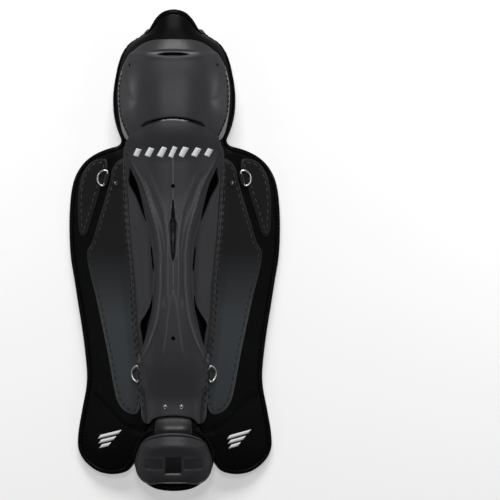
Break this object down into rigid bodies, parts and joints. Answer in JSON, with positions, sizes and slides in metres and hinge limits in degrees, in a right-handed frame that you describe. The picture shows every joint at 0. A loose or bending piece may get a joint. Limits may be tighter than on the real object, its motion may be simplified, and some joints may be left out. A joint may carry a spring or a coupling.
{
  "type": "umpire leg guard",
  "caption": "Padded leg guard with a domed knee cap, a ridged slotted shin shell, side wing panels, a hinged foot piece and chrome D rings for straps.",
  "frame": {"origin": "centre of the guard's footprint, on the surface that it lies on", "axes": "+Z out of the front face, +Y towards the knee end, +X to the right as seen from the front"},
  "size_m": [0.2674, 0.602, 0.0903],
  "materials": {
    "pad_vinyl": "black padded vinyl front with a soft gloss, grey mesh at the back",
    "binding_vinyl": "glossy black folded binding tape",
    "liner_mesh": "black knitted lining with a piped edge",
    "panel_plastic": "satin dark sheet sewn on",
    "shell_plastic": "charcoal moulded plastic, satin",
    "ring_chrome": "bright plated wire",
    "tab_webbing": "black webbing",
    "rivet_metal": "dull round-headed rivets"
  },
  "bodies": {
    "root": {"main_pad": "pad_vinyl", "main_binding": "binding_vinyl", "leg_liner": "liner_mesh", "fin_panel_left": "panel_plastic", "wing_panel_left": "panel_plastic", "fin_panel_right": "panel_plastic", "wing_panel_right": "panel_plastic", "knee_cap": "shell_plastic", "shin_shell": "shell_plastic", "foot_pad": "pad_vinyl", "foot_binding": "binding_vinyl", "foot_tongue": "shell_plastic", "foot_shell": "shell_plastic", "d_ring_upper_left": "ring_chrome", "ring_tab_upper_left": "tab_webbing", "d_ring_lower_left": "ring_chrome", "ring_tab_lower_left": "tab_webbing", "d_ring_upper_right": "ring_chrome", "ring_tab_upper_right": "tab_webbing", "d_ring_lower_right": "ring_chrome", "ring_tab_lower_right": "tab_webbing", "rivet_panel_left": "rivet_metal", "rivet_shell_left": "rivet_metal", "rivet_panel_right": "rivet_metal", "rivet_shell_right": "rivet_metal"}
  },
  "joints": []
}
